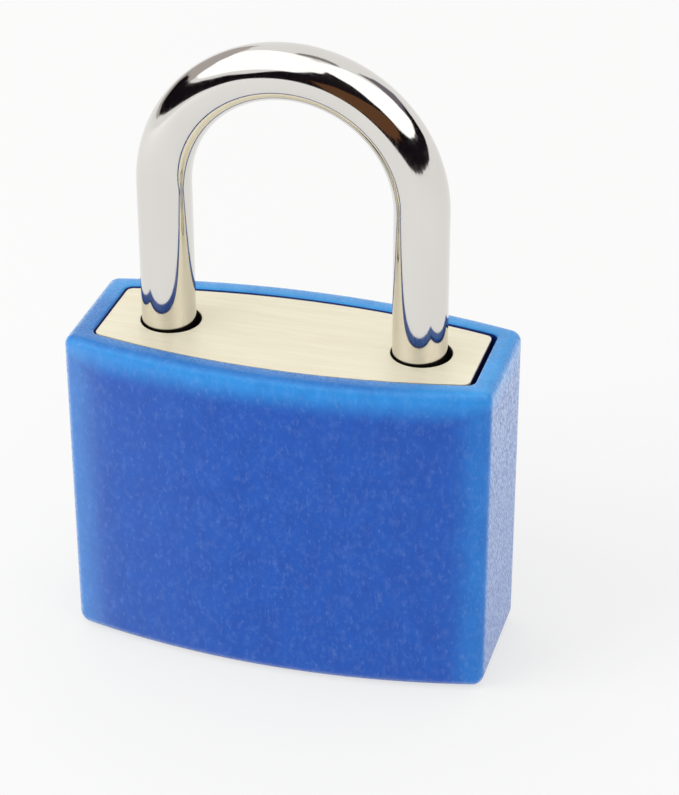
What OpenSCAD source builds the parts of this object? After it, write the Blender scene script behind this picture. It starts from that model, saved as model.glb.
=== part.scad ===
// Small padlock: brass body in a moulded plastic jacket, hardened shackle, three-pin cylinder.
// The origin is the middle of the jacket's bottom face. +X is to the right, +Y to the rear, +Z up.
// It is drawn closed, with the right key in and the latch held back, just before it snaps home.

/* [Jacket] */
// Width of the jacket
jacket_w = 23; // [22:0.5:26]
// Depth of the jacket at its middle
jacket_d = 10.4; // [10.2:0.1:11]
// Depth of the jacket at its flat sides
jacket_side_d = 7.4; // [7.2:0.1:7.8]
// Height of the jacket
jacket_h = 18.2; // [18.1:0.1:19]
// Radius of the jacket's upright corners
jacket_corner_r = 0.7; // [0.4:0.1:1]
// Rounding of the jacket's top outer edge
jacket_top_r = 0.5; // [0.2:0.1:0.7]
// Rounding of the jacket's bottom outer edge
jacket_bottom_r = 0.8; // [0.2:0.1:1.2]
// Thickness of the jacket's floor
jacket_floor = 1.4; // [1:0.1:1.4]
// Gap between the jacket and the body
jacket_gap = 0.1; // [0.05:0.05:0.15]
// Radius of the key hole in the jacket's floor
key_hole_r = 3.1; // [2.8:0.1:3.4]

/* [Body] */
// Width of the brass body
body_w = 20.2; // [20:0.1:20.4]
// Depth of the brass body at its middle
body_d = 7.7; // [7.6:0.1:8.2]
// Depth of the brass body at its sides
body_side_d = 5.3; // [5.2:0.1:5.6]
// Radius of the body's upright corners
body_corner_r = 0.4; // [0.2:0.1:0.6]
// Height of the body's top face over the ground
body_top = 18.1; // [18:0.1:18.2]

/* [Shackle] */
// Diameter of the shackle bar
bar_d = 2.9; // [2.8:0.1:3]
// Clear width between the two legs
legs_clear = 10.8; // [10.7:0.1:11]
// Clear height from the body's top face to the inside of the bow
bow_clear = 13.4; // [12.6:0.1:16]
// Radius of the two leg holes
leg_hole_r = 1.6; // [1.6:0.05:1.8]
// How far the leg holes lie to the right of the legs, which rest to one side in them
leg_hole_shift = 0.1; // [0:0.02:0.14]
// Height of the long leg's end over the ground
long_leg_end = 6; // [5.8:0.1:6.2]
// Height of the short leg's end over the ground
short_leg_end = 12.9; // [12.8:0.1:13]
// Radius of the long leg's neck
neck_r = 1; // [0.9:0.05:1]
// How far the shackle lifts when the lock opens
lift = 5.3; // [5:0.1:5.3]

/* [Latch] */
// Height of the latch over the ground
latch_z = 15; // [14.9:0.1:15.1]
// Radius of the latch rod
latch_r = 1.3; // [1.2:0.05:1.3]
// How far the latch travels
latch_travel = 1.2; // [1.1:0.1:1.2]

/* [Cylinder] */
// Radius of the turning plug
plug_r = 2.6; // [2.5:0.05:2.65]
// Height of the plug's top face over the ground
plug_top = 10.6; // [10.4:0.1:10.8]
// Distance of the cam pin from the plug's axis
cam_offset = 1.25; // [1.2:0.05:1.3]
// Radius of the cam pin
cam_r = 0.5; // [0.4:0.05:0.5]
// Radius of the key pins and driver pins
pin_r = 0.7; // [0.6:0.05:0.7]
// Lengths of the key pins, bottom one first
key_pin_lengths = [1.45, 1.95, 1.65]; // [1.4:0.05:2]
// Length of the driver pins
driver_length = 1.8; // [1.6:0.1:2]

/* [Hidden] */
// Fine circles come over as true curves
$fn = 96;
// Any small amount by which a cut runs past the face it opens
past = 0.5;
// Radial clearance of a running fit
running = 0.05;

// Body and jacket
body_h = body_top - jacket_floor;

// Shackle
bar_r = bar_d / 2;
leg_x = legs_clear / 2 + bar_r;
hole_shift = min(leg_hole_shift, leg_hole_r - bar_r - running);
bow_z = body_top + bow_clear - legs_clear / 2;
leg_end_chamfer = 0.4;
foot_h = 0.9;
retaining_pin_r = 0.6;
// Clearance of the retaining pin over the lifted foot, under the neck's end and beside the neck
pin_clear_z = 0.2;
pin_clear_x = 0.1;
retaining_pin_z = long_leg_end + foot_h + lift + pin_clear_z + retaining_pin_r;
retaining_pin_x = -leg_x - neck_r - retaining_pin_r - pin_clear_x;
neck_top = retaining_pin_z + retaining_pin_r + pin_clear_z;
long_hole_floor = 2.6;
short_hole_floor = short_leg_end - 0.5;
mouth_chamfer = 0.06;

// Latch: at rest its nose is clear of the short leg
latch_nose_x = legs_clear / 2 - 0.15;
latch_tail_x = -2.6;
latch_bore_r = latch_r + running;
latch_bore_end = -4.9;
latch_spigot_l = 0.6;
latch_spigot_r = 0.45;
latch_edge = 0.1;
nose_ramp = 5;
notch_depth_x = latch_nose_x + latch_travel + 0.1;
notch_gap = 0.1;
slot_half = 1.43;
latch_plug_x = leg_x + hole_shift + leg_hole_r + running;

// Cylinder
plug_bore_r = plug_r + running;
plug_bottom = jacket_floor;
plug_bore_top = plug_top + 0.4;
plug_low_bevel = 0.2;
plug_top_bevel = 0.15;
cam_home = 45;
cam_top = 14.8;
cam_clear = 0.15;
cam_bore_r = cam_offset + cam_r + cam_clear;
groove_z = 9.5;
groove_r = 2.1;
groove_half = 0.55;
cross_pin_r = 0.5;
cross_pin_x = -groove_r - running - cross_pin_r;
pin_count = len(key_pin_lengths);
pin_pitch = 2;
first_pin_z = 3.4;
chamber_r = pin_r + running;
chamber_floor_x = 0.2;
key_pin_outer = 2.55;
pin_bevel = 0.2;
key_pin_tip = 0.35;
driver_x = plug_bore_r + 0.01;
cap_x = 8.7;
cap_end = 10;
keyway_top = 8.6;
// The keyway's blade slot and its narrower ward slot: [first x, width along x, first y, depth along y]
blade_slot = [-2.1, 1.9, -0.45, 0.9];
ward_slot = [-0.3, 2.1, -0.15, 0.6];

// Springs: radius of the coil's middle line, of the wire, and the number of turns
shackle_coil = [1.15, 0.18, 6];
latch_coil = [0.8, 0.14, 5];
pin_coil = [0.52, 0.1, 7];
// Gap between a spring's end and the piece it presses on
spring_gap = 0.02;
spring_x = driver_x + driver_length + spring_gap;

// How far the cross pins stay below the body's faces
pin_recess = 0.15;

// Height of pin stack i, counted from 0 at the bottom
function pin_z(i) = first_pin_z + i * pin_pitch;

// Half depth of the body at a distance x from its middle
function body_half_d(x) = body_d / 2 - (body_d - body_side_d) / 2 * pow(2 * x / body_w, 2);

// Radius of a bowed face that is half_c deep in its middle and half_s at half_w to the side
function bow_r(half_w, half_c, half_s) =
    (half_w * half_w + pow(half_c - half_s, 2)) / (2 * (half_c - half_s));

// Plan of a block with flat sides, bowed front and rear, and round corners
module bowed_plan(w, d, side_d, corner_r) {
    face_r = bow_r(w / 2, d / 2, side_d / 2);
    face_y = d / 2 - face_r;
    corner_x = w / 2 - corner_r;
    corner_y = face_y + sqrt(pow(face_r - corner_r, 2) - corner_x * corner_x);
    reach = face_r / (face_r - corner_r);
    difference() {
        intersection() {
            square([w, d + 1], center = true);
            translate([0, face_y]) circle(face_r, $fn = 720);
            translate([0, -face_y]) circle(face_r, $fn = 720);
        }
        for (mx = [0, 1], my = [0, 1])
            mirror([mx, 0]) mirror([0, my]) difference() {
                polygon([
                    [corner_x, corner_y], [w / 2 + past, corner_y], [w / 2 + past, d],
                    [corner_x * reach, d],
                    [corner_x * reach, face_y + (corner_y - face_y) * reach]
                ]);
                translate([corner_x, corner_y]) circle(corner_r);
            }
    }
}

// Half section of a block with rounded bottom and top outer edges, w to the side and h high
module edge_section(w, h, bottom_r, top_r) {
    difference() {
        square([w, h]);
        translate([w - top_r, h - top_r]) difference() {
            square(top_r + past);
            circle(top_r);
        }
        translate([w - bottom_r, bottom_r]) mirror([0, 1]) difference() {
            square(bottom_r + past);
            circle(bottom_r);
        }
    }
}

// Wide disc whose rim is one bowed face of the jacket
module bowed_face(face_r) {
    rotate_extrude($fn = 720) edge_section(face_r, jacket_h, jacket_bottom_r, jacket_top_r);
}

// Outer form of the jacket: two bowed faces and two flat sides, all with rounded edges
module jacket_form() {
    face_r = bow_r(jacket_w / 2, jacket_d / 2, jacket_side_d / 2);
    intersection() {
        linear_extrude(jacket_h) bowed_plan(jacket_w, jacket_d, jacket_side_d, jacket_corner_r);
        translate([0, jacket_d / 2 - face_r, 0]) bowed_face(face_r);
        translate([0, face_r - jacket_d / 2, 0]) bowed_face(face_r);
        translate([0, jacket_d / 2, 0]) rotate([90, 0, 0]) linear_extrude(jacket_d) union() {
            edge_section(jacket_w / 2, jacket_h, jacket_bottom_r, jacket_top_r);
            mirror([1, 0]) edge_section(jacket_w / 2, jacket_h, jacket_bottom_r, jacket_top_r);
        }
    }
}

// Cylinder along +X that starts at x
module rod_x(x, r, l, z = 0) {
    translate([x, 0, z]) rotate([0, 90, 0]) cylinder(r = r, h = l);
}

// Cylinder along +X with bevelled ends
module pin_x(x, r, l, bevel_start, bevel_end) {
    rotate([0, 90, 0]) rotate_extrude() polygon([
        [0, x], [r - bevel_start, x], [r, x + bevel_start],
        [r, x + l - bevel_end], [r - bevel_end, x + l], [0, x + l]
    ]);
}

// Coil spring along +Z from z = 0, l long, with closed end turns, as one swept tube
module coil_spring(coil, l) {
    r = coil[0];
    wire_r = coil[1];
    turns = coil[2];
    sides = 6;
    per_turn = 12;
    rings = turns * per_turn;
    // Closed end turns: the rise is slow over the first and the last turn
    function rise(t) = t < 1 ? 2 * wire_r * t
        : t > turns - 1 ? l - 2 * wire_r - 2 * wire_r * (turns - t)
        : 2 * wire_r + (l - 6 * wire_r) * (t - 1) / (turns - 2);
    points = [
        for (i = [0:rings], s = [0:sides - 1])
            let (t = i / per_turn, a = 360 * t, b = 360 * s / sides, q = r + wire_r * cos(b))
                [q * cos(a), q * sin(a), wire_r + rise(t) + wire_r * sin(b)]
    ];
    skin = [
        for (i = [0:rings - 1], s = [0:sides - 1])
            [i * sides + s, i * sides + (s + 1) % sides,
             (i + 1) * sides + (s + 1) % sides, (i + 1) * sides + s]
    ];
    start_cap = [for (s = [0:sides - 1]) sides - 1 - s];
    end_cap = [for (s = [0:sides - 1]) rings * sides + s];
    polyhedron(points, concat(skin, [start_cap, end_cap]), convexity = 10);
}

module jacket() {
    color([0.24, 0.40, 0.74]) difference() {
        jacket_form();
        translate([0, 0, jacket_floor]) linear_extrude(jacket_h)
            bowed_plan(body_w + 2 * jacket_gap, body_d + 2 * jacket_gap,
                       body_side_d + 2 * jacket_gap, body_corner_r + jacket_gap);
        translate([0, 0, -past]) cylinder(r = key_hole_r, h = jacket_floor + 2 * past);
    }
}

module lock_body() {
    color([0.88, 0.80, 0.55]) difference() {
        translate([0, 0, jacket_floor]) linear_extrude(body_h)
            bowed_plan(body_w, body_d, body_side_d, body_corner_r);
        leg_hole(hole_shift - leg_x, long_hole_floor);
        leg_hole(hole_shift + leg_x, short_hole_floor);
        rod_x(latch_bore_end, latch_bore_r, body_w, latch_z);
        translate([0, 0, plug_bottom - past])
            cylinder(r = plug_bore_r, h = plug_bore_top - plug_bottom + past);
        translate([0, 0, plug_top]) cylinder(r = cam_bore_r, h = latch_z - plug_top);
        for (i = [0:pin_count - 1]) rod_x(0, chamber_r, body_w, pin_z(i));
        cross_hole(retaining_pin_x, retaining_pin_z, retaining_pin_r);
        cross_hole(cross_pin_x, groove_z, cross_pin_r);
    }
}

// Leg hole with a small countersink at its mouth
module leg_hole(x, floor_z) {
    translate([x, 0, floor_z]) cylinder(r = leg_hole_r, h = body_top);
    translate([x, 0, body_top - mouth_chamfer])
        cylinder(r1 = leg_hole_r, r2 = leg_hole_r + mouth_chamfer + past, h = mouth_chamfer + past);
}

// Hole for a cross pin, through the body from front to rear
module cross_hole(x, z, r) {
    translate([x, 0, z]) rotate([90, 0, 0]) cylinder(r = r, h = body_d + 2 * past, center = true);
}

// Cross pin, a little short of the body's front and rear faces
module cross_pin(x, z, r) {
    color([0.75, 0.76, 0.78]) translate([x, 0, z]) rotate([90, 0, 0])
        cylinder(r = r, h = 2 * (body_half_d(x) - pin_recess), center = true);
}

module shackle() {
    color([0.82, 0.83, 0.85]) {
        difference() {
            union() {
                translate([0, 0, bow_z]) rotate([90, 0, 0]) rotate_extrude(angle = 180)
                    translate([leg_x, 0]) circle(bar_r);
                translate([-leg_x, 0, 0]) rotate_extrude() polygon([
                    [0, long_leg_end], [bar_r - leg_end_chamfer, long_leg_end],
                    [bar_r, long_leg_end + leg_end_chamfer],
                    [bar_r, long_leg_end + foot_h], [neck_r, long_leg_end + foot_h],
                    [neck_r, neck_top], [bar_r, neck_top + bar_r - neck_r],
                    [bar_r, bow_z], [0, bow_z]
                ]);
                translate([leg_x, 0, 0]) rotate_extrude() polygon([
                    [0, short_leg_end], [bar_r - leg_end_chamfer, short_leg_end],
                    [bar_r, short_leg_end + leg_end_chamfer], [bar_r, bow_z], [0, bow_z]
                ]);
            }
            translate([0, -bar_r - past, latch_z - latch_r - notch_gap])
                cube([notch_depth_x, 2 * (bar_r + past), 2 * (latch_r + notch_gap)]);
        }
    }
}

module shackle_spring() {
    color([0.6, 0.61, 0.63]) translate([-leg_x, 0, long_hole_floor + spring_gap])
        coil_spring(shackle_coil, long_leg_end - long_hole_floor - 2 * spring_gap);
}

module shackle_retaining_pin() {
    cross_pin(retaining_pin_x, retaining_pin_z, retaining_pin_r);
}

module plug_retaining_pin() {
    cross_pin(cross_pin_x, groove_z, cross_pin_r);
}

// Round bolt with a ramped nose, a cross slot for the cam pin and a spigot for its spring
module latch() {
    color([0.7, 0.7, 0.68]) difference() {
        translate([0, 0, latch_z]) union() {
            pin_x(latch_tail_x, latch_r, latch_nose_x - latch_tail_x, latch_edge, latch_edge);
            rod_x(latch_tail_x - latch_spigot_l, latch_spigot_r, latch_spigot_l + past);
        }
        translate([-slot_half, -latch_r - past, latch_z - latch_r - past])
            cube([2 * slot_half, 2 * (latch_r + past), latch_r + past]);
        translate([latch_nose_x, 0, latch_z]) rotate([0, -45, 0])
            translate([0, -latch_r - past, 0]) cube([nose_ramp, 2 * (latch_r + past), nose_ramp]);
    }
}

module latch_spring() {
    color([0.6, 0.61, 0.63]) translate([latch_bore_end + spring_gap, 0, latch_z]) rotate([0, 90, 0])
        coil_spring(latch_coil, latch_tail_x - latch_bore_end - 2 * spring_gap);
}

module latch_bore_plug() {
    color([0.82, 0.74, 0.48]) rod_x(latch_plug_x, latch_bore_r, cap_end - latch_plug_x, latch_z);
}

// Turning plug with its keyway, pin chambers, groove and cam pin
module plug() {
    color([0.85, 0.77, 0.5]) union() {
        difference() {
            rotate_extrude() polygon([
                [0, plug_bottom], [plug_r - plug_low_bevel, plug_bottom],
                [plug_r, plug_bottom + plug_low_bevel],
                [plug_r, groove_z - groove_half], [groove_r, groove_z - groove_half],
                [groove_r, groove_z + groove_half], [plug_r, groove_z + groove_half],
                [plug_r, plug_top - plug_top_bevel], [plug_r - plug_top_bevel, plug_top], [0, plug_top]
            ]);
            for (i = [0:pin_count - 1]) rod_x(chamber_floor_x, chamber_r, plug_r, pin_z(i));
            keyway();
        }
        rotate([0, 0, cam_home]) translate([cam_offset, 0, plug_top - past])
            cylinder(r = cam_r, h = cam_top - plug_top + past);
    }
}

// Stepped slot for the key's blade
module keyway() {
    for (slot = [blade_slot, ward_slot]) translate([slot[0], slot[2], plug_bottom - past])
        cube([slot[1], slot[3], keyway_top - plug_bottom + past]);
}

// Key pin i: bevelled at the key's end, and short enough at the other to turn with the plug
module key_pin(i) {
    color([0.9, 0.72, 0.35]) translate([0, 0, pin_z(i)])
        pin_x(key_pin_outer - key_pin_lengths[i], pin_r, key_pin_lengths[i], key_pin_tip, pin_bevel);
}

module driver_pin(i) {
    color([0.75, 0.76, 0.78]) translate([0, 0, pin_z(i)])
        pin_x(driver_x, pin_r, driver_length, pin_bevel / 2, pin_bevel / 2);
}

module pin_spring(i) {
    color([0.6, 0.61, 0.63]) translate([spring_x, 0, pin_z(i)]) rotate([0, 90, 0])
        coil_spring(pin_coil, cap_x - spring_x - spring_gap);
}

module pin_chamber_cap(i) {
    color([0.82, 0.74, 0.48]) rod_x(cap_x, chamber_r, cap_end - cap_x, pin_z(i));
}

jacket();
lock_body();
shackle();
shackle_spring();
shackle_retaining_pin();
latch();
latch_spring();
latch_bore_plug();
plug();
plug_retaining_pin();
for (i = [0:pin_count - 1]) {
    key_pin(i);
    driver_pin(i);
    pin_spring(i);
    pin_chamber_cap(i);
}
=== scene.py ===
"""A small padlock: brass body in a moulded blue jacket, chromed shackle, three-pin cylinder.

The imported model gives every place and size. This script makes the finished jacket, body, shackle and
springs around it, dresses the other pieces, and sets up a small photo studio.
"""

import logging
import math
from collections.abc import Sequence
from dataclasses import dataclass, field
from enum import Enum

import bmesh
import bpy
from mathutils import Matrix, Vector


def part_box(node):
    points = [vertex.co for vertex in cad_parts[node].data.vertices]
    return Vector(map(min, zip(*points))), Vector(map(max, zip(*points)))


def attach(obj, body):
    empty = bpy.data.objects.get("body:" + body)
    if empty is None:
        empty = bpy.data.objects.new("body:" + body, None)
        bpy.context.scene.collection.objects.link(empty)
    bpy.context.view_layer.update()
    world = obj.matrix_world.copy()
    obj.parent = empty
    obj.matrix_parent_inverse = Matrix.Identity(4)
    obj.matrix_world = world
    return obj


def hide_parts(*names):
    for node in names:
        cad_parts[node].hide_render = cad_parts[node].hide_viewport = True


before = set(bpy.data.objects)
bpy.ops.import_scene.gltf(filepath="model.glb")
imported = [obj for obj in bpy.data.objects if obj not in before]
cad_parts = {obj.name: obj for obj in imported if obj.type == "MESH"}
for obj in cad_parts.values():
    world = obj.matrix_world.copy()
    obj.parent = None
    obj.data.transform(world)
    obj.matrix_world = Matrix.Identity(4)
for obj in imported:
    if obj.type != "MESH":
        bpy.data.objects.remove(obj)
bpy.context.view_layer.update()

LOG = logging.getLogger("padlock")
MM = 0.001

Colour = tuple[float, float, float, float]
Point2 = tuple[float, float]
Piece = bpy.types.Object
Socket = bpy.types.NodeSocket
Sockets = bpy.types.bpy_prop_collection


def srgb(red: int, green: int, blue: int) -> Colour:
    """Turns an 8-bit screen colour into the linear colour that shaders use.

    Args:
        red: Red, 0 to 255.
        green: Green, 0 to 255.
        blue: Blue, 0 to 255.

    Returns:
        The linear colour with an alpha of 1.
    """
    parts = []
    for value in (red, green, blue):
        share = value / 255
        parts.append(share / 12.92 if share <= 0.04045 else ((share + 0.055) / 1.055) ** 2.4)
    return (parts[0], parts[1], parts[2], 1.0)


# ---- Node trees


class TreeFiller:
    """Short hand for adding nodes to one shader or geometry tree."""

    def __init__(self, tree: bpy.types.NodeTree) -> None:
        """Keeps the tree that the nodes go into."""
        self.tree = tree

    def add(self, kind: str, feeds: dict | None = None, **settings: object) -> bpy.types.Node:
        """Adds a node.

        Args:
            kind: The node's type name.
            feeds: For each input, by name or number, a value or the output that feeds it.
            **settings: Properties of the node itself.

        Returns:
            The new node.
        """
        node = self.tree.nodes.new(kind)
        for name, value in settings.items():
            setattr(node, name, value)
        for socket, value in (feeds or {}).items():
            self.feed(node.inputs[socket], value)
        return node

    def feed(self, socket: Socket, value: object) -> None:
        """Links an output to the socket, or sets the socket's own value."""
        if isinstance(value, Socket):
            self.tree.links.new(value, socket)
        else:
            socket.default_value = value

    def math(self, operation: str, first: object, second: object = 0.0,
             clamp: bool = False) -> Socket:
        """Adds a Math node.

        Args:
            operation: Blender's name of the operation.
            first: First operand, a number or an output.
            second: Second operand.
            clamp: Whether the result is kept within 0 to 1.

        Returns:
            The node's output.
        """
        node = self.add("ShaderNodeMath", {0: first, 1: second}, operation=operation, use_clamp=clamp)
        return node.outputs[0]

    def ramp(self, value: object, start: float, end: float, smooth: bool = True) -> Socket:
        """Maps a value to 0 at start and 1 at end.

        Args:
            value: The output to map.
            start: Where the result is 0.
            end: Where the result is 1.
            smooth: Whether the ends ease in and out.

        Returns:
            The mapped output.
        """
        node = self.add("ShaderNodeMapRange", {0: value, 1: start, 2: end},
                        interpolation_type="SMOOTHSTEP" if smooth else "LINEAR")
        return node.outputs[0]

    def mix(self, share: object, first: object, second: object, blend: str = "MIX") -> Socket:
        """Mixes two colours.

        Args:
            share: Share of the second colour.
            first: First colour or output.
            second: Second colour or output.
            blend: Blend mode.

        Returns:
            The mixed colour's output.
        """
        node = self.add("ShaderNodeMix", {0: share, 6: first, 7: second}, data_type="RGBA", blend_type=blend)
        return node.outputs[2]


class SharedGroups:
    """The shader node groups that more than one finish uses, each built once."""

    fleck_edge = 0.12
    _built: dict[str, bpy.types.NodeTree] = {}

    @classmethod
    def _start(cls, name: str, density: float, label: str,
               value: float) -> tuple[TreeFiller, Sockets, Socket]:
        """Starts a group with four inputs and one value output, and stretches its coordinates.

        Args:
            name: The group's name.
            density: Default of its noise density.
            label: Name of its fourth input.
            value: Default of that input.

        Returns:
            The group's filler, its inputs and the stretched coordinates.
        """
        tree = bpy.data.node_groups.new(name, "ShaderNodeTree")
        for given, kind, start in (
            ("Vector", "NodeSocketVector", (0, 0, 0)), ("Density", "NodeSocketFloat", density),
            ("Stretch", "NodeSocketVector", (1, 1, 1)), (label, "NodeSocketFloat", value),
        ):
            tree.interface.new_socket(name=given, in_out="INPUT", socket_type=kind).default_value = start
        tree.interface.new_socket(name="Value", in_out="OUTPUT", socket_type="NodeSocketFloat")
        cls._built[name] = tree
        fill = TreeFiller(tree)
        inputs = fill.add("NodeGroupInput").outputs
        scaled = fill.add("ShaderNodeVectorMath", {0: inputs["Vector"], 1: inputs["Stretch"]},
                          operation="MULTIPLY").outputs[0]
        return fill, inputs, scaled

    @classmethod
    def grain(cls) -> bpy.types.NodeTree:
        """Returns the grain group: soft noise, stretched as asked, 0 to 1, centred on 0.5."""
        if "grain" not in cls._built:
            fill, inputs, scaled = cls._start("grain", 1000.0, "Detail", 2.0)
            noise = fill.add("ShaderNodeTexNoise", {
                "Vector": scaled, "Scale": inputs["Density"], "Detail": inputs["Detail"], "Roughness": 0.55,
            })
            fill.add("NodeGroupOutput", {"Value": noise.outputs["Fac"]})
        return cls._built["grain"]

    @classmethod
    def flecks(cls) -> bpy.types.NodeTree:
        """Returns the flecks group: sparse small spots, 1 on a spot and 0 elsewhere."""
        if "flecks" not in cls._built:
            fill, inputs, scaled = cls._start("flecks", 3000.0, "Threshold", 0.6)
            noise = fill.add("ShaderNodeTexNoise", {
                "Vector": scaled, "Scale": inputs["Density"], "Detail": 3.0, "Roughness": 0.6,
            })
            soft_end = fill.math("ADD", inputs["Threshold"], cls.fleck_edge)
            spots = fill.add("ShaderNodeMapRange",
                             {0: noise.outputs["Fac"], 1: inputs["Threshold"], 2: soft_end},
                             interpolation_type="SMOOTHSTEP")
            fill.add("NodeGroupOutput", {"Value": spots.outputs[0]})
        return cls._built["flecks"]


def place_group(fill: TreeFiller, tree: bpy.types.NodeTree, feeds: dict) -> Socket:
    """Places a shared group in a material.

    Args:
        fill: The material's filler.
        tree: The group.
        feeds: Values or outputs for the group's inputs.

    Returns:
        The group's value output.
    """
    node = fill.add("ShaderNodeGroup", node_tree=tree)
    for name, value in feeds.items():
        fill.feed(node.inputs[name], value)
    return node.outputs["Value"]


def place_grain(fill: TreeFiller, place: Socket, density: float,
                stretch: Sequence[float] = (1.0, 1.0, 1.0), detail: float = 2.0) -> Socket:
    """Places the grain group in a material.

    Args:
        fill: The material's filler.
        place: Object coordinates.
        density: How fine the grain is.
        stretch: Density along X, Y and Z, as shares of that.
        detail: Octaves of finer noise.

    Returns:
        The grain's output, 0 to 1.
    """
    return place_group(fill, SharedGroups.grain(), {
        "Vector": place, "Density": density, "Stretch": stretch, "Detail": detail,
    })


# ---- Finishes


def start_material(name: str) -> tuple[bpy.types.Material, TreeFiller, bpy.types.Node, Socket]:
    """Makes a material with one Principled BSDF and object coordinates.

    Args:
        name: The material's name.

    Returns:
        The material, its filler, the shader node and the coordinates' output.
    """
    material = bpy.data.materials.new(name)
    material.use_nodes = True
    fill = TreeFiller(material.node_tree)
    shader = next(n for n in material.node_tree.nodes if n.type == "BSDF_PRINCIPLED")
    place = fill.add("ShaderNodeTexCoord").outputs["Object"]
    return material, fill, shader, place


@dataclass(frozen=True)
class JacketPlastic:
    """Moulded plastic with a fine matt skin, its edges painted lighter as if light came through them.

    The half width, the front and the height are places in metres. What has a default is a share, or the
    grey that the plastic throws on what stands round it.
    """

    deep: Colour
    # Painted glow along the rim and the upright corners, as if light came through the plastic.
    glow: Colour
    # Painted light on the rim's top towards the rear and the right.
    rim: Colour
    # Painted shade: the dark colour of the foot, the pocket's walls and the plastic as seen in shiny
    # surfaces.
    pocket: Colour
    # Painted light: the paler colour of the left end.
    pale: Colour
    # Colour of the pale flecks that the plastic has, and of the painted sheen.
    haze: Colour
    roughness: float
    grain_density: float
    half_width: float
    front: float
    height: float
    # Strengths of the painted light towards the left end and at the left upright corners.
    left_light: float = 0.045
    left_edge_light: float = 0.09
    # Strength of the painted sheen, and how much of it is lost towards the foot.
    painted_sheen: float = 0.95
    foot_sheen_drop: float = 0.4
    # Slant and strength of the painted light on the rim's top, and how much less painted glow the rim's front
    # gets.
    rim_slant: float = 0.3
    rim_light: float = 0.85
    front_rim_drop: float = 0.35
    # Share of the painted glow at the upright corners.
    corner_light: float = 0.5
    # Share of painted shade at the foot.
    foot_shade: float = 0.45
    spot_haze: float = 0.055
    blotch_haze: float = 0.06
    # Share of painted shade on the plastic as it is seen in shiny surfaces.
    mirror_shade: float = 0.8
    thrown_grey: float = 0.85
    grey: Colour = (0.36, 0.38, 0.42, 1.0)

    def rim_share(self, fill: TreeFiller, parts: Sockets,
                  start: float, end: float) -> Socket:
        """Picks out the rim's flat top towards the rear and the right, or towards the front and the left.

        Args:
            fill: The material's filler.
            parts: X, Y and Z of the object coordinates.
            start: Place on the slanting scale at which the result is 0.
            end: Place on the scale from which it is whole.

        Returns:
            An output that is 1 on the picked part of the rim and 0 elsewhere.
        """
        flat = fill.ramp(parts["Z"], self.height - 0.2 * MM, self.height - 0.02 * MM)
        slanting = fill.math("ADD", parts["Y"], fill.math("MULTIPLY", parts["X"], self.rim_slant))
        return fill.math("MULTIPLY", flat, fill.ramp(slanting, start, end))

    def edge_glow_share(self, fill: TreeFiller, place: Socket) -> Socket:
        """Says where the painted glow lies, by how close a point is to the rim or to an upright corner.

        Args:
            fill: The material's filler.
            place: Object coordinates.

        Returns:
            An output that is 1 just below the rim and on most of it, less on the rim's front and at the
            upright corners, and 0 on the faces.
        """
        parts = fill.add("ShaderNodeSeparateXYZ", {0: place}).outputs
        skirt = fill.ramp(parts["Z"], self.height - 1.95 * MM, self.height - 0.25 * MM)
        front_rim = fill.math("MULTIPLY", self.rim_share(fill, parts, -0.5 * MM, -3.2 * MM),
                              self.front_rim_drop)
        upper = fill.math("SUBTRACT", skirt, front_rim)
        across = fill.math("ABSOLUTE", parts["X"])
        near_side = fill.ramp(across, self.half_width - 2.2 * MM, self.half_width - 0.1 * MM)
        on_face = fill.ramp(fill.math("ABSOLUTE", parts["Y"]), self.front - 0.75 * MM, self.front - 0.3 * MM)
        corner = fill.math("MULTIPLY", fill.math("MULTIPLY", near_side, on_face), self.corner_light)
        return fill.math("MAXIMUM", upper, corner)

    def left_light_share(self, fill: TreeFiller, place: Socket) -> Socket:
        """Says how much painted light makes the plastic paler towards its left end, as if the walls caught
        the window.

        Args:
            fill: The material's filler.
            place: Object coordinates.

        Returns:
            An output that grows slowly to the left and faster at the left upright corners.
        """
        parts = fill.add("ShaderNodeSeparateXYZ", {0: place}).outputs
        slow = fill.ramp(parts["X"], -1.5 * MM, -self.half_width, smooth=False)
        fast = fill.ramp(parts["X"], 3.2 * MM - self.half_width, 0.2 * MM - self.half_width)
        both = fill.math("ADD", fill.math("MULTIPLY", slow, self.left_light),
                         fill.math("MULTIPLY", fast, self.left_edge_light))
        return fill.math("MULTIPLY", both, fill.ramp(parts["Z"], self.height, self.height - 0.6 * MM))

    def sheen_share(self, fill: TreeFiller, place: Socket,
                       skin: Socket) -> Socket:
        """Says how much a painted sheen whitens the rough skin where it is seen at a low angle.

        Args:
            fill: The material's filler.
            place: Object coordinates.
            skin: The skin's noise.

        Returns:
            An output that is 0 face on, on the very outline and at the foot, and speckled at a low angle,
            more so towards the rim.
        """
        z = fill.add("ShaderNodeSeparateXYZ", {0: place}).outputs["Z"]
        facing = fill.add("ShaderNodeLayerWeight", {"Blend": 0.5}).outputs["Facing"]
        low_view = fill.ramp(facing, 0.45, 0.8, smooth=False)
        outline = fill.math("MULTIPLY", fill.ramp(facing, 0.98, 0.86), fill.ramp(z, 0.1 * MM, 0.7 * MM))
        speckled = fill.math("MULTIPLY", fill.math("MULTIPLY", low_view, outline), fill.ramp(skin, 0.32, 0.7))
        lower = fill.math("MULTIPLY", fill.ramp(z, self.height, 0.0, smooth=False),
                          self.foot_sheen_drop * self.painted_sheen)
        return fill.math("MULTIPLY", speckled, fill.math("SUBTRACT", self.painted_sheen, lower))

    def wall_colour(self, fill: TreeFiller, place: Socket) -> Socket:
        """Colours the walls by place: painted shade at the foot, a painted glow at the edges and painted
        light on the rim.

        Args:
            fill: The material's filler.
            place: Object coordinates.

        Returns:
            The colour, before any grain.
        """
        parts = fill.add("ShaderNodeSeparateXYZ", {0: place}).outputs
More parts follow.
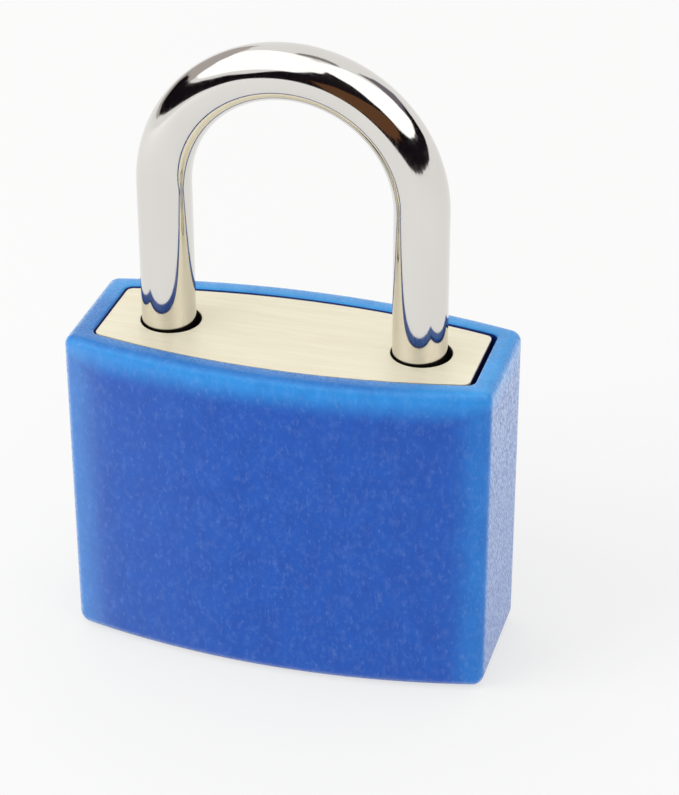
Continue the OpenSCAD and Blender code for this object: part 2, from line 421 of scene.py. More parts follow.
        # Painted shade at the foot, where the plastic meets the table.
        foot = fill.math("MULTIPLY", fill.ramp(parts["Z"], 0.6 * MM, 0.1 * MM), self.foot_shade)
        shaded_foot = fill.mix(foot, self.deep, self.pocket)
        # Painted glow near the rim and the upright corners.
        walls = fill.mix(self.edge_glow_share(fill, place), shaded_foot, self.glow)
        # Painted light on the rim's top towards the rear and the right.
        light = fill.math("MULTIPLY", self.rim_share(fill, parts, -3.0 * MM, 0.5 * MM), self.rim_light)
        return fill.mix(light, walls, self.rim)

    def grained(self, fill: TreeFiller, place: Socket, plain: Socket,
                spots: Socket) -> Socket:
        """Clouds a colour softly and lays pale spots and blotches over it.

        Args:
            fill: The material's filler.
            place: Object coordinates.
            plain: The colour.
            spots: The spots' output.

        Returns:
            The clouded and flecked colour.
        """
        mottle = place_grain(fill, place, self.grain_density * 0.12, (1.0, 1.0, 0.6), 5.0)
        blotches = place_grain(fill, place, self.grain_density * 0.34, (1.0, 1.0, 0.7), 3.0)
        clouds = fill.mix(fill.ramp(mottle, 0.3, 0.7), (0.8, 0.92, 0.95, 1), (1.25, 1.09, 1.05, 1))
        shaded = fill.mix(1.0, plain, clouds, "MULTIPLY")
        flecks = fill.math("ADD", fill.math("MULTIPLY", spots, self.spot_haze),
                           fill.math("MULTIPLY", fill.ramp(blotches, 0.45, 0.8), self.blotch_haze))
        return fill.mix(flecks, shaded, self.haze)

    def material(self) -> bpy.types.Material:
        """Builds the material and returns it."""
        material, fill, shader, place = start_material("jacket_plastic")
        skin = place_grain(fill, place, self.grain_density, (1.0, 1.0, 0.6))
        spots = place_group(fill, SharedGroups.flecks(), {
            "Vector": place, "Density": self.grain_density * 0.6,
            "Stretch": (1.0, 1.0, 0.5), "Threshold": 0.56,
        })
        flecked = self.grained(fill, place, self.wall_colour(fill, place), spots)
        # Painted light: the left end is paler.
        left_lightened = fill.mix(self.left_light_share(fill, place), flecked, self.pale)
        # Painted sheen where the skin is seen at a low angle.
        sheened = fill.mix(self.sheen_share(fill, place, skin), left_lightened, self.haze)
        path = fill.add("ShaderNodeLightPath").outputs
        # Painted shade: the pocket's walls, and the plastic as seen in shiny surfaces, take the dark pocket
        # colour.
        pocket = fill.add("ShaderNodeAttribute", attribute_name="pocket").outputs["Fac"]
        # Painted shade: in shiny surfaces the plastic shows darker, and without its coat.
        reflected_shade = fill.math("MULTIPLY", path["Is Glossy Ray"], self.mirror_shade)
        colour = fill.mix(fill.math("MAXIMUM", pocket, reflected_shade), sheened, self.pocket)
        calm = fill.mix(fill.math("MULTIPLY", path["Is Diffuse Ray"], self.thrown_grey), colour, self.grey)
        rough = fill.math("ADD", fill.math("MULTIPLY", skin, 0.2), self.roughness - 0.1)
        height = fill.math("ADD", skin, fill.math("MULTIPLY", spots, 0.6))
        bump = fill.add("ShaderNodeBump", {"Strength": 0.3, "Distance": 0.015 * MM, "Height": height})
        fill.feed(shader.inputs["Base Color"], calm)
        fill.feed(shader.inputs["Roughness"], rough)
        fill.feed(shader.inputs["Normal"], bump.outputs[0])
        gloss = fill.ramp(skin, 0.05, 0.75, smooth=False)
        fill.feed(shader.inputs["Coat Weight"], fill.math("SUBTRACT", gloss, reflected_shade, clamp=True))
        shader.inputs["Coat IOR"].default_value = 1.15
        shader.inputs["Coat Roughness"].default_value = 0.22
        shader.inputs["IOR"].default_value = 1.38
        return material


@dataclass(frozen=True)
class BrushedMetal:
    """Metal with fine straight brush lines along one direction."""

    name: str
    tint: Colour
    shade: Colour
    roughness: float
    stretch: tuple[float, float, float]
    density: float
    depth: float
    metallic: float = 1.0

    def material(self) -> bpy.types.Material:
        """Builds the material and returns it."""
        material, fill, shader, place = start_material(self.name)
        lines = place_grain(fill, place, self.density, self.stretch, 4.0)
        broad = place_grain(fill, place, self.density * 0.12, self.stretch)
        both = fill.math("ADD", fill.math("MULTIPLY", lines, 0.6), fill.math("MULTIPLY", broad, 0.4))
        streak = fill.ramp(both, 0.36, 0.64)
        bump = fill.add("ShaderNodeBump", {"Strength": 0.5, "Distance": self.depth, "Height": lines})
        unshaded = fill.mix(streak, self.shade, self.tint)
        rough = fill.math("ADD", fill.math("MULTIPLY", lines, 0.16), self.roughness - 0.08)
        fill.feed(shader.inputs["Base Color"], self.with_painted_shade(fill, place, unshaded))
        fill.feed(shader.inputs["Roughness"], rough)
        fill.feed(shader.inputs["Normal"], bump.outputs[0])
        shader.inputs["Metallic"].default_value = self.metallic
        return material

    def with_painted_shade(self, fill: TreeFiller, place: Socket,
               unshaded: Socket) -> Socket:
        """Returns the colour with any painted shade on it; plain metal has none."""
        return unshaded


@dataclass(frozen=True)
class BoredBrass(BrushedMetal):
    """Brushed brass with painted shade in its two leg holes and in the gap round its top edge, where the
    shade carries a painted navy reflection of the blue plastic.

    Places are in millimetres, but for the top face's height, which is in metres.
    """

    top: float = 0.0
    holes: tuple[float, ...] = (-6.75, 6.95)
    hole_radius: float = 1.6
    # Painted shade in the leg holes.
    bore_shade: Colour = (0.02, 0.017, 0.014, 1.0)
    # Painted shade, tinted navy by a painted reflection of the blue plastic, in the gap round the top edge.
    gap_shade: Colour = (0.008, 0.015, 0.2, 1.0)

    def with_painted_shade(self, fill: TreeFiller, place: Socket,
               unshaded: Socket) -> Socket:
        """Paints shade on the walls of the leg holes and on the upper part of the sides.

        Args:
            fill: The material's filler.
            place: Object coordinates.
            unshaded: The brass's own colour.

        Returns:
            The colour with the painted shade on it.
        """
        parts = fill.add("ShaderNodeSeparateXYZ", {0: place}).outputs
        # Painted shade with a painted reflection of the blue plastic, on the sides just below the top edge.
        gap = fill.math("MULTIPLY", fill.ramp(parts["Z"], self.top - 0.08 * MM, self.top - 0.14 * MM),
                        fill.ramp(parts["Z"], self.top - 2.4 * MM, self.top - 1.4 * MM))
        # Painted shade on the walls of the two leg holes, which are deep and narrow.
        offsets = [fill.math("ABSOLUTE", fill.math("SUBTRACT", parts["X"], x * MM)) for x in self.holes]
        across = fill.math("MINIMUM", *offsets)
        squares = fill.math("ADD", fill.math("MULTIPLY", across, across),
                            fill.math("MULTIPLY", parts["Y"], parts["Y"]))
        edge = self.hole_radius * MM
        bore = fill.ramp(fill.math("SQRT", squares), edge + 0.05 * MM, edge + 0.01 * MM)
        return fill.mix(bore, fill.mix(gap, unshaded, self.gap_shade), self.bore_shade)


@dataclass(frozen=True)
class ChromePlate:
    """Polished plating: mirror bright, a little wavy, with faint wiping marks."""

    tint: Colour
    roughness: float
    wave: float

    def material(self) -> bpy.types.Material:
        """Builds the material and returns it."""
        material, fill, shader, place = start_material("chrome_plate")
        waves = place_grain(fill, place, 420.0, (1.0, 1.0, 0.5), 1.0)
        wipes = place_grain(fill, place, 9000.0, (1.0, 1.0, 0.08))
        haze = fill.math("MULTIPLY", fill.ramp(wipes, 0.45, 0.75), 0.05)
        bump = fill.add("ShaderNodeBump", {"Strength": 0.6, "Distance": self.wave, "Height": waves})
        cloud = fill.mix(fill.ramp(waves, 0.3, 0.7), (0.97, 0.97, 0.97, 1), (1.0, 1.0, 1.0, 1))
        fill.feed(shader.inputs["Base Color"], fill.mix(1.0, self.tint, cloud, "MULTIPLY"))
        fill.feed(shader.inputs["Roughness"], fill.math("ADD", haze, self.roughness))
        fill.feed(shader.inputs["Normal"], bump.outputs[0])
        shader.inputs["Metallic"].default_value = 1.0
        return material


class SteelTone(Enum):
    """The shades that the small steel pieces come in."""

    PIN = (178, 179, 182)
    LATCH = (172, 172, 164)
    WIRE = (142, 144, 148)

    def finish(self) -> BrushedMetal:
        """Returns the turned finish in this tone."""
        tint = srgb(*self.value)
        shade = tuple(0.72 * part for part in tint[:3]) + (1.0,)
        return BrushedMetal(f"steel_{self.name.lower()}", tint, shade, roughness=0.3,
                            stretch=(1.0, 1.0, 1.0), density=5200.0, depth=0.004 * MM)


TURNED_BRASS = BrushedMetal("turned_brass", srgb(232, 208, 150), srgb(205, 176, 112), roughness=0.3,
                            stretch=(1.0, 1.0, 1.0), density=4200.0, depth=0.005 * MM)
CHROME = ChromePlate(tint=(0.735, 0.715, 0.68, 1.0), roughness=0.07, wave=0.012 * MM)


# ---- Mesh helpers


def new_piece(name: str, mesh: bpy.types.Mesh,
              material: bpy.types.Material | None = None) -> Piece:
    """Puts a mesh into the scene as an object at the origin.

    Args:
        name: The piece's name.
        mesh: Its mesh, already in place.
        material: Its material, if it is to be set here.

    Returns:
        The new object.
    """
    mesh.name = name
    piece = bpy.data.objects.new(name, mesh)
    bpy.context.scene.collection.objects.link(piece)
    if material is not None:
        mesh.materials.clear()
        mesh.materials.append(material)
    return piece


def mesh_from(name: str, points: Sequence[Sequence[float]], faces: Sequence[Sequence[int]],
              marks: dict[str, Sequence[float]] | None = None) -> bpy.types.Mesh:
    """Makes a smooth-shaded mesh whose faces point outwards.

    Args:
        name: The mesh's name.
        points: Its vertices, in metres.
        faces: Its faces, as vertex numbers.
        marks: Values to store on the vertices, by attribute name.

    Returns:
        The mesh.
    """
    mesh = bpy.data.meshes.new(name)
    mesh.from_pydata([tuple(p) for p in points], [], [tuple(f) for f in faces])
    for mark, values in (marks or {}).items():
        mesh.attributes.new(mark, "FLOAT", "POINT").data.foreach_set("value", list(values))
    built = bmesh.new()
    built.from_mesh(mesh)
    bmesh.ops.remove_doubles(built, verts=built.verts, dist=1e-7)
    bmesh.ops.recalc_face_normals(built, faces=built.faces)
    built.to_mesh(mesh)
    built.free()
    mesh.polygons.foreach_set("use_smooth", [True] * len(mesh.polygons))
    mesh.update()
    return mesh


def stacked_rings(rings: Sequence[Sequence[Sequence[float]]], closed: bool) -> tuple[list, list]:
    """Joins equal rings of points into a skin of quads.

    Args:
        rings: The rings, each with the same number of points.
        closed: Whether the last ring joins the first one again.

    Returns:
        The points and the faces.
    """
    count = len(rings[0])
    points = [point for ring in rings for point in ring]
    faces = []
    for i in range(len(rings) if closed else len(rings) - 1):
        low = i * count
        high = ((i + 1) % len(rings)) * count
        for j in range(count):
            k = (j + 1) % count
            faces.append((low + j, low + k, high + k, high + j))
    return points, faces


def settle(piece: Piece) -> Piece:
    """Turns a piece's modifiers into plain mesh.

    Args:
        piece: The piece.

    Returns:
        The same piece, with no modifiers left.
    """
    graph = bpy.context.evaluated_depsgraph_get()
    graph.update()
    done = bpy.data.meshes.new_from_object(piece.evaluated_get(graph))
    piece.modifiers.clear()
    piece.data = done
    return piece


def soften_edges(piece: Piece, width: float, segments: int = 2,
                 angle: float = 35.0) -> Piece:
    """Bevels a piece's sharp edges and shades it smoothly.

    Args:
        piece: The piece.
        width: Width of the bevel, in metres.
        segments: Steps across the bevel.
        angle: Edges sharper than this many degrees are bevelled.

    Returns:
        The same piece.
    """
    bevel = piece.modifiers.new("edge", "BEVEL")
    bevel.width = width
    bevel.segments = segments
    bevel.limit_method = "ANGLE"
    bevel.angle_limit = math.radians(angle)
    bevel.use_clamp_overlap = True
    settle(piece)
    piece.data.polygons.foreach_set("use_smooth", [True] * len(piece.data.polygons))
    weigh = piece.modifiers.new("shade", "WEIGHTED_NORMAL")
    weigh.keep_sharp = True
    return settle(piece)


def arc(centre: Point2, radius: float, start: float, end: float, steps: int) -> list[Point2]:
    """Points on a circular arc, both ends included.

    Args:
        centre: Centre of the circle.
        radius: Its radius.
        start: First angle, in degrees.
        end: Last angle, in degrees.
        steps: Number of steps along the arc.

    Returns:
        The points.
    """
    angles = [math.radians(start + (end - start) * i / steps) for i in range(steps + 1)]
    return [(centre[0] + radius * math.cos(a), centre[1] + radius * math.sin(a)) for a in angles]


@dataclass(frozen=True)
class BowedPlan:
    """Plan of a block with flat sides, bowed front and rear, and round corners, in millimetres."""

    half_width: float
    half_depth: float
    half_side: float
    corner: float
    shift_right: float = 0.0
    least_corner: float = 0.02
    side_steps: int = 14
    corner_steps: int = 8
    bow_steps: int = 60

    def ring(self, inset: float, z: float) -> list[tuple[float, float, float]]:
        """One closed ring of points round the plan.

        Args:
            inset: How far the ring lies inside the plan.
            z: Its height.

        Returns:
            The points in metres, anticlockwise seen from above.
        """
        rise = self.half_depth - self.half_side
        bow = (self.half_width ** 2 + rise ** 2) / (2 * rise)
        centre_y = self.half_depth - bow
        cx = self.half_width - self.corner
        cy = centre_y + math.sqrt((bow - self.corner) ** 2 - cx ** 2)
        bow_angle = math.degrees(math.atan2(cy - centre_y, cx))
        radius = max(self.corner - inset, self.least_corner)
        corner_at = (self.half_width - inset - radius, cy - max(0.0, inset + radius - self.corner))
        quarter = arc(corner_at, radius, 0, bow_angle, self.corner_steps)
        top = arc((0, centre_y), bow - inset, bow_angle, 180 - bow_angle, self.bow_steps)
        upper = quarter + top[1:-1] + [(-x, y) for x, y in reversed(quarter)]
        side_y = corner_at[1]
        left_x = -self.half_width + inset
        left = [(left_x, side_y * (1 - 2 * i / self.side_steps)) for i in range(1, self.side_steps)]
        lower = [(-x, -y) for x, y in upper]
        right = [(-x, -y) for x, y in left]
        flat = upper + left + lower + right
        moved = [(x + (self.shift_right if x > 0.5 * self.half_width else 0.0), y) for x, y in flat]
        return [(x * MM, y * MM, z * MM) for x, y in moved]


# ---- Sub-assemblies


@dataclass
class JacketShell:
    """The moulded sleeve: bowed walls, a rounded rim, a pocket for the body and a key hole below."""

    corner: float = 0.65
    top_round: float = 0.55
    foot_round: float = 0.85
    lip_round: float = 0.16
    floor: float = 1.4
    key_hole: float = 3.1
    hole_edge: float = 0.12
    half_side: float = 3.7
    round_steps: int = 9
    wall_steps: int = 10
    lip_steps: int = 6
    bright_steps: int = 4
    pocket_steps: int = 8
    pocket: BowedPlan = field(default_factory=lambda: BowedPlan(10.2, 3.95, 2.75, 0.5, shift_right=0.18))

    def outer_rings(self, plan: BowedPlan, height: float) -> list:
        """Rings from the bottom face's edge up the outside and over the rim.

        Args:
            plan: The jacket's outer plan.
            height: The jacket's height in millimetres.

        Returns:
            The rings, bottom first.
        """
        turns = [math.pi / 2 * i / self.round_steps for i in range(self.round_steps + 1)]
        low, high = self.foot_round, height - self.top_round
        rings = [plan.ring(low * (1 - math.sin(turn)), low * (1 - math.cos(turn))) for turn in turns]
        rings += [plan.ring(0, low + (high - low) * i / self.wall_steps) for i in range(1, self.wall_steps)]
        rings += [plan.ring(self.top_round * (1 - math.cos(turn)), high + self.top_round * math.sin(turn))
                  for turn in turns]
        return rings

    def pocket_rings(self, height: float) -> list:
        """Rings over the lip and down the pocket's wall; the height is the jacket's, in millimetres."""
        rings = []
        for i in range(self.lip_steps + 1):
            turn = math.pi / 2 * i / self.lip_steps
            rings.append(self.pocket.ring(-self.lip_round * (1 - math.sin(turn)),
                                          height - self.lip_round * (1 - math.cos(turn))))
        low, high = self.floor, height - self.lip_round
        rings += [self.pocket.ring(0, high + (low - high) * i / self.pocket_steps)
                  for i in range(1, self.pocket_steps + 1)]
        return rings

    def hole_ring(self, radius: float, z: float, guide: list) -> list[tuple[float, float, float]]:
        """A round ring with one point for each of the guide's, in its direction once its Y is doubled.

        Args:
            radius: Radius in millimetres.
            z: Height in millimetres.
            guide: The ring that it will be joined to.

        Returns:
            The points in metres.
        """
        ring = []
        for x, y, _ in guide:
            turn = math.atan2(2 * y, x)
            ring.append((radius * MM * math.cos(turn), radius * MM * math.sin(turn), z * MM))
        return ring

    def build(self, finish: JacketPlastic) -> Piece:
        """Makes the jacket.

        Args:
            finish: The plastic.

        Returns:
            The piece.
        """
        low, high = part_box("jacket")
        height = high.z / MM
        plan = BowedPlan(high.x / MM, high.y / MM, self.half_side, self.corner)
        outside = self.outer_rings(plan, height)
        pocket = self.pocket_rings(height)
        wide, edge = self.key_hole + self.hole_edge, self.hole_edge
        hole_top = [self.hole_ring(wide, self.floor, pocket[-1]),
                    self.hole_ring(self.key_hole, self.floor - edge, pocket[-1])]
        hole_foot = [self.hole_ring(self.key_hole, edge, outside[0]), self.hole_ring(wide, 0, outside[0])]
        rings = outside + pocket + hole_top + hole_foot
        points, faces = stacked_rings(rings, closed=True)
        # The pocket's walls below its lip are marked for the plastic's painted shade.
        inside = range(len(outside) + self.bright_steps, len(outside) + len(pocket))
        inner = [float(i in inside) for i in range(len(rings)) for _ in rings[0]]
        mesh = mesh_from("jacket_shell", points, faces, {"pocket": inner})
        piece = new_piece("jacket_shell", mesh, finish.material())
        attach(piece, "case")
        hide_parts("jacket")
        return piece


def cad_copy(node: str, name: str, edge: float) -> Piece:
    """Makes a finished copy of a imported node: merged, with its flat faces cleaned and its edges softened.

    Args:
        node: The node's name.
        name: The new piece's name.
        edge: Width of the edge softening, in metres.

    Returns:
        The new piece.
    """
    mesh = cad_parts[node].data.copy()
    built = bmesh.new()
    built.from_mesh(mesh)
    bmesh.ops.remove_doubles(built, verts=built.verts, dist=2e-7)
    bmesh.ops.dissolve_limit(built, angle_limit=math.radians(0.6), verts=built.verts, edges=built.edges)
    built.to_mesh(mesh)
    built.free()
    mesh.polygons.foreach_set("use_smooth", [True] * len(mesh.polygons))
    return soften_edges(new_piece(name, mesh), edge)


@dataclass
class BrassBody:
    """The solid body, with its leg holes and pin bores."""

    edge: float = 0.07 * MM

    def build(self, finish: BrushedMetal) -> Piece:
        """Makes the body.

        Args:
            finish: The brass.

        Returns:
            The piece.
        """
        piece = cad_copy("lock_body", "brass_body", self.edge)
        piece.data.materials.clear()
        piece.data.materials.append(finish.material())
        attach(piece, "case")
        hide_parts("lock_body")
        return piece


@dataclass
class ShackleBar:
    """The bent bar: long captive leg with its neck, round bow, short leg with the latch's notch."""

    leg: float
    bar: float
    bow_z: float
    long_end: float
    neck: float = 1.0
    neck_low: float = 6.9
    neck_high: float = 13.8
    short_end: float = 12.9
    chamfer: float = 0.4
    notch_low: float = 13.6
    notch_high: float = 16.4
    notch_x: float = 6.55
    cutter_side: float = 4.0
    leg_rings: tuple[float, ...] = (18.0, 20.0, 22.0, 24.0)
    above_neck: float = 16.5
    sides: int = 72
    bow_steps: int = 96

    @classmethod
    def measured(cls) -> "ShackleBar":
        """Takes the bar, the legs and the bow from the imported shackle."""
        low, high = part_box("shackle")
        bar = high.y / MM
        leg = high.x / MM - bar
        return cls(leg=leg, bar=bar, bow_z=high.z / MM - leg - bar, long_end=low.z / MM)

    def stations(self) -> list[tuple[Vector, Vector, float]]:
        """Centre, outward direction and radius of each ring, from the long leg's end to the short leg's.

        Returns:
            The stations, in millimetres.
        """
        out = Vector((-1, 0, 0))
        rows = [
            (self.long_end, self.bar - self.chamfer), (self.long_end + self.chamfer, self.bar),
            (self.neck_low, self.bar), (self.neck_low, self.neck),
            (self.neck_high, self.neck), (self.neck_high + self.bar - self.neck, self.bar),
        ]
        rows += [(z, self.bar) for z in (self.above_neck, *self.leg_rings)]
        found = [(Vector((-self.leg, 0, z)), out, radius) for z, radius in rows]
        for i in range(self.bow_steps + 1):
            turn = math.pi * (1 - i / self.bow_steps)
            out = Vector((math.cos(turn), 0, math.sin(turn)))
            found.append((Vector((0, 0, self.bow_z)) + out * self.leg, out, self.bar))
        out = Vector((1, 0, 0))
        rows = [(z, self.bar) for z in (*reversed(self.leg_rings), self.short_end + self.chamfer)]
        rows.append((self.short_end, self.bar - self.chamfer))
        found += [(Vector((self.leg, 0, z)), out, radius) for z, radius in rows]
        return found

    def swept(self) -> bpy.types.Mesh:
        """Makes the bar without its notch, as one closed skin."""
        rings = []
        for centre, out, radius in self.stations():
            ring = []
            for j in range(self.sides):
                turn = 2 * math.pi * j / self.sides
                point = centre + radius * (math.cos(turn) * out + math.sin(turn) * Vector((0, 1, 0)))
                ring.append(point * MM)
            rings.append(ring)
        points, faces = stacked_rings(rings, closed=False)
        last = len(points) - self.sides
        faces.append(tuple(range(self.sides)))
        faces.append(tuple(range(last, last + self.sides)))
        return mesh_from("shackle_bar", points, faces)

    def cut_notch(self, piece: Piece) -> None:
        """Cuts the latch's notch into the inner side of the short leg."""
        side = self.cutter_side
        middle = Vector((self.notch_x - side / 2, 0, (self.notch_low + self.notch_high) / 2)) * MM
        size = Vector((side, side, self.notch_high - self.notch_low)) * MM
        place = Matrix.Translation(middle) @ Matrix.Diagonal((*size, 1))
        cutter_mesh = bpy.data.meshes.new("notch_cutter")
        built = bmesh.new()
        bmesh.ops.create_cube(built, size=1.0, matrix=place)
        built.to_mesh(cutter_mesh)
        built.free()
        cutter = new_piece("notch_cutter", cutter_mesh)
        cut = piece.modifiers.new("notch", "BOOLEAN")
        cut.operation = "DIFFERENCE"
        cut.solver = "EXACT"
        cut.object = cutter
        settle(piece)
        bpy.data.objects.remove(cutter)

    def build(self, finish: ChromePlate) -> Piece:
        """Makes the shackle.

        Args:
            finish: The plating.

        Returns:
            The piece.
        """
        piece = new_piece("shackle_bar", self.swept(), finish.material())
        self.cut_notch(piece)
        soften_edges(piece, 0.07 * MM, segments=3, angle=28.0)
        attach(piece, "shackle")
        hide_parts("shackle")
        return piece


@dataclass(frozen=True)
class SpringSpec:
    """One coil spring: which node it stands for, and its size in millimetres."""

    node: str
    coil: float
    wire: float
    turns: int
    axis: str


class CoilWorks:
    """Winds every spring from one geometry node tree."""

    per_turn: int = 28
    wire_sides: int = 12

    def __init__(self, material: bpy.types.Material) -> None:
        """Builds the tree.

        Args:
            material: The wire's material.
        """
        self.material = material
        self.tree = self.make_tree()

    def make_tree(self) -> bpy.types.NodeTree:
        """Makes the tree: a spiral with closed end turns, swept with a round wire.

        Returns:
            The tree, with inputs for the coil, the wire, the length and the turns.
        """
        tree = bpy.data.node_groups.new("coil_spring", "GeometryNodeTree")
        tree.interface.new_socket(name="Geometry", in_out="INPUT", socket_type="NodeSocketGeometry")
        for label in ("Coil", "Wire", "Length", "Turns"):
            tree.interface.new_socket(name=label, in_out="INPUT", socket_type="NodeSocketFloat")
        tree.interface.new_socket(name="Geometry", in_out="OUTPUT", socket_type="NodeSocketGeometry")
        fill = TreeFiller(tree)
        given = fill.add("NodeGroupInput").outputs
        spiral = fill.add("GeometryNodeCurveSpiral", {
            "Resolution": self.per_turn, "Rotations": given["Turns"],
            "Start Radius": given["Coil"], "End Radius": given["Coil"], "Height": 0.0,
        })
        along = fill.add("GeometryNodeSplineParameter").outputs["Factor"]
        turn = fill.math("MULTIPLY", along, given["Turns"])
        wire = fill.math("MULTIPLY", given["Wire"], 2.0)
        open_turns = fill.math("SUBTRACT", given["Turns"], 2.0)
        free = fill.math("SUBTRACT", given["Length"], fill.math("MULTIPLY", given["Wire"], 6.0))
        first = fill.math("MULTIPLY", fill.math("MULTIPLY", turn, 1.0, clamp=True), wire)
        share = fill.math("DIVIDE", fill.math("SUBTRACT", turn, 1.0), open_turns, clamp=True)
        middle = fill.math("MULTIPLY", share, free)
        late = fill.math("SUBTRACT", turn, fill.math("SUBTRACT", given["Turns"], 1.0), clamp=True)
        last = fill.math("MULTIPLY", late, wire)
        height = fill.math("ADD", fill.math("ADD", first, middle), fill.math("ADD", last, given["Wire"]))
        offset = fill.add("ShaderNodeCombineXYZ", {"Z": height}).outputs[0]
        wound = fill.add("GeometryNodeSetPosition", {"Geometry": spiral.outputs[0], "Offset": offset})
        section = fill.add("GeometryNodeCurvePrimitiveCircle", {
            "Resolution": self.wire_sides, "Radius": given["Wire"],
        })
        swept = fill.add("GeometryNodeCurveToMesh", {
            "Curve": wound.outputs[0], "Profile Curve": section.outputs[0], "Fill Caps": True,
        })
        smooth = fill.add("GeometryNodeSetShadeSmooth", {0: swept.outputs[0]})
        real = fill.add("GeometryNodeRealizeInstances", {0: smooth.outputs[0]})
        dressed = fill.add("GeometryNodeSetMaterial",
                           {"Geometry": real.outputs[0], "Material": self.material})
        fill.add("NodeGroupOutput", {0: dressed.outputs[0]})
        return tree

    def wind(self, spec: SpringSpec) -> Piece:
        """Winds one spring into the space of its node.

        Args:
            spec: The spring.

        Returns:
            The piece.
        """
        low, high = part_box(spec.node)
        size = high - low
        middle = (low + high) / 2
        length = size.z if spec.axis == "Z" else size.x
        piece = new_piece(f"coil_{spec.node}", bpy.data.meshes.new("coil"))
        run = piece.modifiers.new("wind", "NODES")
        run.node_group = self.tree
        sizes = {"Coil": spec.coil * MM, "Wire": spec.wire * MM, "Length": length, "Turns": float(spec.turns)}
        for item in self.tree.interface.items_tree:
            if item.name in sizes:
                run[item.identifier] = sizes[item.name]
        settle(piece)
        if spec.axis == "Z":
            place = Matrix.Translation((middle.x, middle.y, low.z))
        else:
            place = Matrix.Translation((low.x, middle.y, middle.z)) @ Matrix.Rotation(math.pi / 2, 4, "Y")
        piece.data.transform(place)
        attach(piece, "case")
        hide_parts(spec.node)
        return piece

    def build(self) -> list[Piece]:
        """Winds all the springs and returns them."""
        specs = [
            SpringSpec("shackle_spring", 1.15, 0.18, 6, "Z"),
            SpringSpec("latch_spring", 0.8, 0.14, 5, "X"),
        ]
        specs += [SpringSpec(f"pin_spring_{i}", 0.52, 0.1, 7, "X") for i in (1, 2, 3)]
        return [self.wind(spec) for spec in specs]


class LockWork:
    """The small pieces inside the body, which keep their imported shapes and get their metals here."""

    brass: tuple[str, ...] = (
        "plug", "latch_bore_plug",
        *(f"key_pin_{i}" for i in (1, 2, 3)), *(f"pin_chamber_cap_{i}" for i in (1, 2, 3)),
    )
    steel: tuple[str, ...] = (
        "shackle_retaining_pin", "plug_retaining_pin", *(f"driver_pin_{i}" for i in (1, 2, 3)),
    )

    def dress(self, names: Sequence[str], material: bpy.types.Material) -> int:
        """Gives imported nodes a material.

        Args:
            names: The nodes.
            material: Their material.

        Returns:
            How many nodes were dressed.
        """
        for name in names:
            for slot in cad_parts[name].material_slots:
                slot.material = material
        return len(names)

    def build(self) -> int:
        """Dresses every inner piece and returns how many there are."""
        done = self.dress(self.brass, TURNED_BRASS.material())
        done += self.dress(self.steel, SteelTone.PIN.finish().material())
        done += self.dress(("latch",), SteelTone.LATCH.finish().material())
        return done


# ---- Studio


@dataclass(frozen=True)
class RoomCard:
    """A glowing or dark card on a sphere round the lock, seen only in shiny surfaces.

    Each row gives a bearing (0 to the front, 90 to the right), a lowest and a highest elevation, in degrees.
    """

    name: str
    radius: float
    rows: tuple[tuple[float, float, float], ...]
    light: Colour
    strength: float = 1.0
    centre: tuple[float, float, float] = (0.0, 0.0, 0.03)
    step: float = 1.5
    layers: int = 4

    def edges_at(self, bearing: float) -> tuple[float, float]:
        """Lowest and highest elevation at a bearing, eased between the rows."""
        for (b0, low0, high0), (b1, low1, high1) in zip(self.rows, self.rows[1:]):
            if b0 <= bearing <= b1:
                share = (bearing - b0) / (b1 - b0)
                share = share * share * (3 - 2 * share)
                return low0 + (low1 - low0) * share, high0 + (high1 - high0) * share
        return self.rows[-1][1:]

    def place(self, bearing: float, elevation: float) -> Vector:
        """The point on the sphere in a direction."""
        turn, rise = math.radians(bearing), math.radians(elevation)
        way = Vector((math.sin(turn) * math.cos(rise), -math.cos(turn) * math.cos(rise), math.sin(rise)))
        return Vector(self.centre) + way * self.radius

    def build(self) -> Piece:
        """Makes the card and returns it."""
        first, last = self.rows[0][0], self.rows[-1][0]
        count = max(2, round((last - first) / self.step))
        points, faces = [], []
        for i in range(count + 1):
            bearing = first + (last - first) * i / count
            low, high = self.edges_at(bearing)
            points += [self.place(bearing, low + (high - low) * k / self.layers)
                       for k in range(self.layers + 1)]
        for i in range(count):
            for k in range(self.layers):
                corner = i * (self.layers + 1) + k
                faces.append((corner, corner + self.layers + 1, corner + self.layers + 2, corner + 1))
        mesh = bpy.data.meshes.new(self.name)
        mesh.from_pydata(points, [], faces)
        material = bpy.data.materials.new(self.name)
        material.use_nodes = True
        fill = TreeFiller(material.node_tree)
        glow = fill.add("ShaderNodeEmission", {"Color": self.light, "Strength": self.strength})
        output = next(n for n in material.node_tree.nodes if n.type == "OUTPUT_MATERIAL")
        fill.feed(output.inputs["Surface"], glow.outputs[0])
        card = new_piece(self.name, mesh, material)
        for ray in ("camera", "diffuse", "shadow", "transmission", "volume_scatter"):
            setattr(card, f"visible_{ray}", False)
        return card


